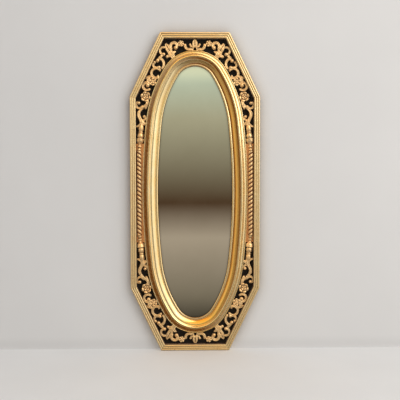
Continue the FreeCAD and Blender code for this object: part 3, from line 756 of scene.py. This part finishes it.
QUARTERS = [(level, way_z, side_name, way_x) for level, way_z in (("top", 1), ("bottom", -1))
            for side_name, way_x in (("right", 1), ("left", -1))]
VOXEL = 0.8
FINE_VOXEL = VOXEL * 0.75
# Runs that overlap end at different depths, so that no two backs lie in one plane
SHOULDER_FLOOR, FLOWER_FLOOR = fret_floor + 0.3, fret_floor + 0.6

# The runs: places are millimetres along the strip from the top middle, and out from the oval
corner = Carving()
corner.stem([(9, 4.5), (15, 5), (21, 6)], [7, 9, 10])
corner.scroll(19, 20, -90, 18, 15, 15, 10, 10)
corner.ball(32, 22, 6.0)
corner.scroll(63, 35, -10, 235, 16, 8, 11, 11)
corner.ball(62, 27, 7.5)
corner.stem([(80, 22), (78.5, 40), (80, 59)], [8, 10.5, 4])
corner.stem([(87.5, 22), (87, 40), (82.5, 58)], [8, 10.5, 4])
corner.scroll(98, 44, 150, -45, 13.5, 12.5, 8, 9)
corner.ball(104, 34, 6.6)
corner.stem([(82.5, -3), (82, 10), (81.5, 26)], [9, 10.5, 9])
corner.stem([(89.5, -3), (89.5, 10), (88.5, 26)], [9, 10.5, 9])
corner.stem([(84, 9), (78, 14.5), (69, 15)], [11, 12.5, 6])
corner.stem([(88, 10), (94, 15.5), (101, 19)], [11, 12.5, 7])
corner.ball(101, 18, 5.8)
corner.stem([(112, 35), (120, 36), (128, 36.5)], [10, 10, 9])
corner.ball(130, 36.5, 7.4)
corner.scroll(138, 28.5, 163, 285, 21, 23, 10, 9)
corner.rose(42.5, 34, 12.5)
place_run("corner_scrolls", corner.melted(VOXEL), QUARTERS)

shoulder = Carving()
shoulder.ball(147, 18, 6.8)
shoulder.ball(153, 12, 5.0)
shoulder.scroll(143, 33, 115, -55, 11, 13, 9, 9)
shoulder.ball(140, 43, 5.8)
shoulder.scroll(170, 17, 205, -55, 18, 18, 9, 10.5)
shoulder.ball(176, 6, 4.5)
shoulder.stem([(186, 26), (197, 39), (205, 53)], [10, 10, 8])
shoulder.scroll(226, 30, -65, 205, 16.5, 11, 8.5, 12)
shoulder.ball(222, 27, 7.8)
shoulder.stem([(212, 27), (206, 33), (196, 32)], [10, 12, 11])
shoulder.rose(204, 14, 15.5)
place_run("shoulder_scrolls", shoulder.melted(VOXEL, SHOULDER_FLOOR), QUARTERS)

side = Carving()
side.stem([(272, 10), (287, 8), (304, 10)], [9, 12, 8])
side.stem([(288, 10), (297, 16), (305, 23)], [6, 8, 9])
side.scroll(297, 36, -80, 130, 13.5, 11.5, 9, 8)
side.ball(291, 39, 6.4)
side.stem([(306, 20), (313, 26), (322, 31)], [7, 9, 10])
side.scroll(327, 11.5, 110, 45, 20, 20, 12, 13)
side.stem([(339, 28), (352, 19), (368, 14)], [12, 13, 13])
side.stem([(346, 24), (355, 16), (364, 6)], [10, 13, 8])
side.ball(335, 8.5, 6.2)
side.stem([(339, 1), (346, 6), (351, 17)], [6, 8, 9])
side.stem([(350, 17), (356, 9), (364, 0)], [8, 9, 7])
side.stem([(360, 19), (371, 25), (376, 42)], [9, 9, 6])
place_run("side_scrolls", side.melted(VOXEL), QUARTERS)

rosette = Carving()
rosette.rose(263, 20, 20.5)
place_run("rosette", rosette.melted(FINE_VOXEL, FLOWER_FLOOR), QUARTERS)

fleur = Carving()
fleur.stem([(-14, 14.5), (0, 15), (14, 14.5)], [6, 8, 6])
for way in (-1, 1):
    fleur.stem([(way * 3.8, 14), (way * 4.4, 28), (way * 1.2, 40)], [8, 9.5, 5], 0.8)
    fleur.stem([(way * 9, -1), (way * 7, 6), (way * 5.5, 13)], [6, 5, 7])
    fleur.stem([(way * 8, 14), (way * 12, 16), (way * 14.5, 20)], [7, 7, 6])
    fleur.ball(way * 15, 23, 4.8)
spots, faces = fleur.melted(FINE_VOXEL, FLOWER_FLOOR)
for level, way_z in (("top", 1), ("bottom", -1)):
    own = spots * np.array([1.0, 1.0, way_z])
    piece("fleur_" + level + "_gilt", own, faces, gilt_fret, ["fleur_" + level])


# Rope columns: a carved twist of two round strands, flat where it lies on the web
ROPE_X = half_width - rail_width - gap_side / 2
ROPE_HALF = 160.0
WEB_TOP = 9.0
ROPE_SINK = 0.4
STRANDS = 2
STRAND_PITCH = 15.9
STRAND_CREST, STRAND_VALLEY = 9.3, 5.6
STRAND_POINTS, TURN_ROWS = 22, 30
# Share of a strand's rise below which glaze and painted shade begin, and how much further down they are full
ROPE_SHADE_FROM, ROPE_SHADE_OVER = 0.92, 0.25


def make_rope(side_name, way):
    turns = 2 * ROPE_HALF / (STRANDS * STRAND_PITCH)
    steps, around = int(turns * TURN_ROWS), STRAND_POINTS * STRANDS
    axis_y = back_y - WEB_TOP
    points, values = [], []
    for step in range(steps + 1):
        share = step / steps
        for k in range(around):
            across = 2 * ((k * STRANDS / around) % 1.0) - 1
            rise = math.sqrt(1 - across * across)
            radius = STRAND_VALLEY + (STRAND_CREST - STRAND_VALLEY) * rise
            angle = 2 * math.pi * (k / around - turns * share)
            y = min(axis_y - radius * math.sin(angle), axis_y + ROPE_SINK)
            points.append((way * (ROPE_X + radius * math.cos(angle)), y, ROPE_HALF * (2 * share - 1)))
            # Glaze and painted shade in the valleys between strands
            values.append(held((ROPE_SHADE_FROM - rise) / ROPE_SHADE_OVER, 0.0, 1.0))
    node = "rope_column_" + side_name
    piece(node + "_gilt", points, tube_faces(steps + 1, around), gilt_rope, [node], recess=values)


make_rope("right", 1)
make_rope("left", -1)

# Balusters: turned about a leaning axis; each row is a distance, a radius and the swell of the line up to it
BALUSTER_LENGTH, BALUSTER_FOOT, BALUSTER_CORE = 94.0, 6.5, 0.2
BALUSTER_AXIS = back_y - 6.0
BALUSTER_TOP = (366.0, 16.0)
TURNING = ((8.0, 6.5, 1.4), (11.0, 5.5, 0.0), (13.0, 8.0, 0.0), (17.0, 8.0, 1.5), (19.0, 6.2, 0.0),
           (27.0, 7.5, -1.0), (40.0, 14.5, 2.6), (44.0, 14.0, 0.8), (45.0, 9.0, 0.0), (64.0, 7.5, 3.4),
           (65.0, 8.6, 0.0), (68.5, 8.6, 0.8), (69.5, 7.5, 0.0), (BALUSTER_LENGTH, 6.0, 3.0))


def make_balusters():
    profile = [(0.0, BALUSTER_CORE), (0.0, BALUSTER_FOOT)]
    for distance, radius, swell in TURNING:
        before = profile[-1]
        if swell:
            middle = ((before[0] + distance) / 2, (before[1] + radius) / 2 + swell)
            profile += arc_through(before, middle, (distance, radius), 9)
        else:
            profile.append((distance, radius))
    profile.append((BALUSTER_LENGTH, BALUSTER_CORE))
    foot = np.array([ROPE_X, BALUSTER_AXIS, ROPE_HALF])
    top_x, top_z = on_strip(*BALUSTER_TOP)[:2]
    axis = np.array([top_x, BALUSTER_AXIS, top_z]) - foot
    length = np.linalg.norm(axis)
    axis, stretch = axis / length, length / BALUSTER_LENGTH
    side_way = np.array([axis[2], 0.0, -axis[0]])
    forward = np.array([0.0, -1.0, 0.0])
    around = 40
    points = []
    for distance, radius in profile:
        for k in range(around):
            turn = 2 * math.pi * k / around
            out = math.cos(turn) * side_way + math.sin(turn) * forward
            points.append(foot + axis * distance * stretch + radius * out)
    faces = tube_faces(len(profile), around)
    place_run("baluster", (kept_in_strip(np.array(points), FLOWER_FLOOR), faces), QUARTERS)


make_balusters()


# Small hardware behind: domed screws with a cross slot, and dished rubber bumpers
HANGER_ALONG, HANGER_INSET = 300.0, 22.0
STRAP_HOLES, STRAP_THICKNESS = (18.0, 34.0), 1.2
BUTTONS_ALONG, BUTTON_INSET, BUTTON_THICKNESS = (150.0, 480.0), 40.0, 2.1
BUMPER_BELOW_CORNER = 42.0
# Screws: radii of head and shank, and how far out the slot goes
HANGER_SCREW, HANGER_SLOT = (3.5, 1.7), 2.6
BUTTON_SCREW, BUTTON_SLOT = (4.0, 2.2), 3.0
SLOT_HALF, SLOT_SLOPE, SLOT_END = 0.85, 0.4, 0.3
SHARP_FROM = math.radians(38)
BUMPER_PROFILE = ((0.1, 0.0), (7.6, 0.0), (8.0, 0.5), (8.0, 4.6), (7.7, 5.8), (7.0, 6.7), (6.2, 7.0), (5.2, 7.0),
                  (4.6, 6.8), (4.0, 6.3), (2.0, 6.0), (0.1, 5.9))


def turned(places, base_y, profile, slot_reach):
    """Closed turned forms about lines towards the wall; the profile runs in radius and distance from the base."""
    around = 48
    points, faces = [], []
    for x, z in places:
        faces += tube_faces(len(profile), around, len(points))
        for radius, distance in profile:
            for k in range(around):
                turn = 2 * math.pi * k / around
                u, v = radius * math.cos(turn), radius * math.sin(turn)
                cut = held((SLOT_HALF - min(abs(u), abs(v))) / SLOT_SLOPE, 0.0, 1.0)
                cut *= held((slot_reach - radius) / SLOT_END, 0.0, 1.0)
                points.append((x + u, base_y + distance - cut * (distance > 0), z + v))
    return points, faces


def screw_profile(head_radius, shank_radius):
    """Point, shank and domed head, from the point up."""
    edge, dome, steps = 0.5, 1.3, 12
    profile = [(0.1, -12.0), (0.6, -11.4), (shank_radius, -9.0), (shank_radius, 0.0),
               (head_radius, 0.0), (head_radius, edge)]
    for k in range(1, steps + 1):
        radius = head_radius * (1 - k / (steps + 0.4))
        profile.append((radius, edge + dome * math.sqrt(1 - (radius / head_radius) ** 2)))
    return profile


def make_hardware():
    hanger_x, hanger_z = on_strip(HANGER_ALONG, -HANGER_INSET)[:2]
    hanger_spots = [(way * hanger_x, hanger_z - down) for way in (1, -1) for down in STRAP_HOLES]
    button_spots = [(way_x * on_strip(along, -BUTTON_INSET)[0], way_z * on_strip(along, -BUTTON_INSET)[1])
                    for along in BUTTONS_ALONG for way_x in (1, -1) for way_z in (1, -1)]
    bumper_spots = [(way_x * (half_width - rail_width / 2), way_z * (half_height - cut_down - BUMPER_BELOW_CORNER))
                    for way_x in (1, -1) for way_z in (1, -1)]
    hanger_form, button_form = screw_profile(*HANGER_SCREW), screw_profile(*BUTTON_SCREW)
    made = (("hanger_screws", hanger_spots, STRAP_THICKNESS, hanger_form, HANGER_SLOT, steel, "steel"),
            ("button_screws", button_spots, BUTTON_THICKNESS, button_form, BUTTON_SLOT, steel, "steel"),
            ("wall_bumpers", bumper_spots, 0.0, BUMPER_PROFILE, 0.0, rubber, "rubber"))
    for name, spots, off_back, profile, slot_reach, material, slot in made:
        points, faces = turned(spots, back_y + off_back, profile, slot_reach)
        thing = piece(name + "_shaped", points, faces, material, [name], slot)
        thing.data.set_sharp_from_angle(angle=SHARP_FROM)


make_hardware()


def dress(name, material):
    solids[name].data.materials.clear()
    solids[name].data.materials.append(material)


for side_name in ("right", "left"):
    dress("side_web_" + side_name, gilt_web)
    dress("hanger_strap_" + side_name, steel)
    dress("hanging_ring_" + side_name, steel)
dress("mirror_glass", silvered)
dress("back_board", hardboard)
for name in solids:
    if name.startswith("turn_button_"):
        dress(name, steel)

# Camera at the photograph's place
camera_data = bpy.data.cameras.new("camera")
camera_data.sensor_width = 36.0
camera_data.lens = 56.36
camera_data.clip_end = 100.0
camera = bpy.data.objects.new("camera", camera_data)
bpy.context.scene.collection.objects.link(camera)
camera.location = (-0.028, -2.3925, 0.093)
tilt = Euler((math.radians(-2.87), math.radians(0.05), math.radians(-1.13)), "XYZ").to_matrix()
camera.rotation_euler = (tilt @ Matrix.Rotation(math.pi / 2, 3, "X")).to_euler()
bpy.context.scene.camera = camera


# Stage: pale floor, pale backdrop just behind the bumpers, a soft lamp and a soft surrounding
def sheet_of(name, corners, look):
    mesh = bpy.data.meshes.new(name)
    mesh.from_pydata(corners, [], [(0, 1, 2, 3)])
    mesh.materials.append(look)
    thing = bpy.data.objects.new(name, mesh)
    bpy.context.scene.collection.objects.link(thing)
    return thing


FLOOR_Z, FLOOR_REACH = -0.6022, 14.0
WALL_Y, WALL_REACH, WALL_TOP = 0.0012, 9.0, 7.0
PAINT = [(0.3, (0.72, 0.715, 0.71)), (0.7, (0.75, 0.745, 0.74))]
WALL_PAINTED_SHADE = (0.010, 0.008, 0.006, 1.0)
# In metres: how near the frame the wall gets painted shade, how far in from the octagon the painted shade behind the
# frame begins and is full, how high above the floor the painted contact shade is full, and the length over which a
# mirrored ray shows the wall
SHADE_REACH, DARK_FROM, DARK_FULL, CONTACT_HEIGHT, MIRRORED_FROM = 0.05, -0.004, -0.018, 0.06, 0.012
floor_look = Look("floor_paint")
floor_look.set(Base_Color=floor_look.ramp(floor_look.noise(3.0, 3.0), PAINT), Roughness=0.75)
floor_corners = [(x * FLOOR_REACH, y * FLOOR_REACH, FLOOR_Z) for x, y in ((-1, -1), (1, -1), (1, 1), (-1, 1))]
floor = sheet_of("floor", floor_corners, floor_look.material)
floor.visible_glossy = False

# The backdrop has painted shade behind the frame, dark through the fret, and a faint painted contact shade; only the
# front is seen, and mirrored from afar
wall_look = Look("backdrop_paint")
wall_tone = wall_look.ramp(wall_look.noise(2.0, 3.0), PAINT)
wall_places = wall_look.parts(wall_look.coords)
wall_x, wall_z = (wall_look.math("ABSOLUTE", wall_places[k]) for k in (0, 2))
wall_x = wall_look.math("SUBTRACT", wall_x, half_width * MM)
beyond = wall_look.math("MAXIMUM", wall_x, wall_look.math("SUBTRACT", wall_z, half_height * MM))
slant_x = wall_look.math("MULTIPLY", wall_x, math.sin(slant))
slant_z = wall_look.math("SUBTRACT", wall_z, (half_height - cut_down) * MM)
slant_z = wall_look.math("MULTIPLY", slant_z, math.cos(slant))
beyond = wall_look.math("MAXIMUM", beyond, wall_look.math("ADD", slant_x, slant_z))
# Painted shade on the wall: dark behind the frame, with a faint contact shade near it
closeness = wall_look.occlusion(SHADE_REACH)
inside = wall_look.spread(beyond, DARK_FROM, DARK_FULL)
shade = wall_look.math("MULTIPLY", inside, wall_look.spread(closeness, 0.86, 1.0, 1.0, 0.0))
clear_of_floor = wall_look.spread(wall_places[2], FLOOR_Z, FLOOR_Z + CONTACT_HEIGHT, 0.0, 0.45)
contact = wall_look.math("MULTIPLY", clear_of_floor, wall_look.spread(closeness, 0.45, 0.95, 1.0, 0.0))
wall_tone = wall_look.mix(wall_look.math("MAXIMUM", shade, contact), wall_tone, WALL_PAINTED_SHADE)
wall_look.set(Base_Color=wall_tone, Roughness=0.85)
clear = wall_look.tree.nodes.new("ShaderNodeBsdfTransparent")
path = wall_look.tree.nodes.new("ShaderNodeLightPath")
behind = wall_look.tree.nodes.new("ShaderNodeNewGeometry").outputs["Backfacing"]
far = wall_look.math("GREATER_THAN", path.outputs["Ray Length"], MIRRORED_FROM)
mirrored = wall_look.math("MULTIPLY", path.outputs["Is Glossy Ray"], far)
seen = wall_look.math("ADD", path.outputs["Is Camera Ray"], mirrored)
shown = wall_look.math("MULTIPLY", seen, wall_look.math("SUBTRACT", 1.0, behind))
blend = wall_look.tree.nodes.new("ShaderNodeMixShader")
wall_look.join(shown, blend.inputs[0])
wall_look.join(clear.outputs[0], blend.inputs[1])
wall_look.join(wall_look.shader.outputs[0], blend.inputs[2])
wall_look.join(blend.outputs[0], wall_look.out.inputs["Surface"])
sheet_of("backdrop", [(-WALL_REACH, WALL_Y, FLOOR_Z), (WALL_REACH, WALL_Y, FLOOR_Z),
                      (WALL_REACH, WALL_Y, WALL_TOP), (-WALL_REACH, WALL_Y, WALL_TOP)], wall_look.material)

KEY_PLACE, KEY_TARGET = Vector((2.1, -1.7, 2.2)), Vector((0.0, 0.0, 0.1))
key_data = bpy.data.lights.new("key", "AREA")
key_data.shape = "RECTANGLE"
key_data.size = key_data.size_y = 4.0
key_data.energy = 74.0
key_data.color = (1.0, 0.97, 0.93)
key = bpy.data.objects.new("key", key_data)
key.location = KEY_PLACE
key.rotation_euler = (KEY_TARGET - KEY_PLACE).to_track_quat("-Z", "Y").to_euler()
key.visible_camera = False
bpy.context.scene.collection.objects.link(key)

world = bpy.data.worlds.new("studio")
world.use_nodes = True
bpy.context.scene.world = world
sky = Graph(world.node_tree)
sky_x, sky_y, sky_z = sky.parts(sky.tree.nodes.new("ShaderNodeTexCoord").outputs["Generated"])


def sky_ramp(value, stops):
    """Tones over a direction from -1 to 1, each a screen colour and its strength."""
    return sky.ramp(sky.spread(value, -1.0, 1.0),
                    [((place + 1) / 2, tuple(v * strength for v in linear(*colour)[:3]))
                     for place, colour, strength in stops])


# Soft surrounding in front: by height, which the glass shows, then brighter to the right and greyer to the left
by_height = sky_ramp(sky_z, [
    (-0.55, (126, 110, 84), 1.0), (-0.24, (52, 46, 36), 1.0), (-0.20, (120, 110, 92), 1.1),
    (-0.11, (162, 148, 128), 1.15), (-0.055, (72, 52, 34), 1.1), (0.08, (166, 160, 132), 1.1),
    (0.138, (184, 192, 168), 1.1), (0.144, (210, 214, 182), 1.1), (0.20, (222, 214, 172), 1.1),
    (0.60, (255, 194, 100), 1.4), (0.85, (245, 186, 98), 1.2), (1.00, (150, 118, 76), 1.0)])
sides = sky_ramp(sky_z, [
    (-0.8, (105, 98, 88), 1.0), (-0.35, (170, 163, 153), 1.0), (-0.06, (228, 224, 217), 1.0),
    (0.15, (255, 255, 255), 1.0), (0.45, (225, 212, 186), 1.0), (0.9, (180, 165, 140), 1.0)])
right = sky_ramp(sky_x, [
    (0.0, (246, 247, 248), 1.6), (0.56, (246, 247, 248), 1.6), (0.66, (252, 248, 240), 1.4),
    (0.92, (255, 246, 230), 1.4), (1.00, (240, 215, 180), 1.2)])
left = sky_ramp(sky_x, [
    (-1.00, (90, 70, 48), 1.0), (-0.86, (226, 186, 130), 1.3), (-0.79, (196, 190, 178), 1.45),
    (-0.60, (196, 190, 178), 1.45), (-0.50, (206, 194, 170), 1.35)])
right = sky.mix(1.0, right, sides, "MULTIPLY")
left = sky.mix(1.0, left, sides, "MULTIPLY")
surround = sky.mix(sky.spread(sky_x, 0.28, 0.55, smooth=True), by_height, right)
surround = sky.mix(sky.spread(sky_x, -0.35, -0.65, smooth=True), surround, left)

# Pale behind, even and neutral as light, and plain pale where the camera sees it
PALE_BEHIND, EVEN_LIGHT, PALE_SEEN = (0.95, 0.94, 0.92, 1.0), (0.64, 0.63, 0.62, 1.0), (0.80, 0.79, 0.77, 1.0)
surround = sky.mix(sky.spread(sky_y, 0.25, -0.05, smooth=True), PALE_BEHIND, surround)
ray = sky.tree.nodes.new("ShaderNodeLightPath")
surround = sky.mix(ray.outputs["Is Glossy Ray"], EVEN_LIGHT, surround)
surround = sky.mix(ray.outputs["Is Camera Ray"], surround, PALE_SEEN)
background = sky.tree.nodes["Background"]
sky.join(surround, background.inputs["Color"])
background.inputs["Strength"].default_value = 1.0

bpy.context.scene.view_settings.view_transform = "Standard"
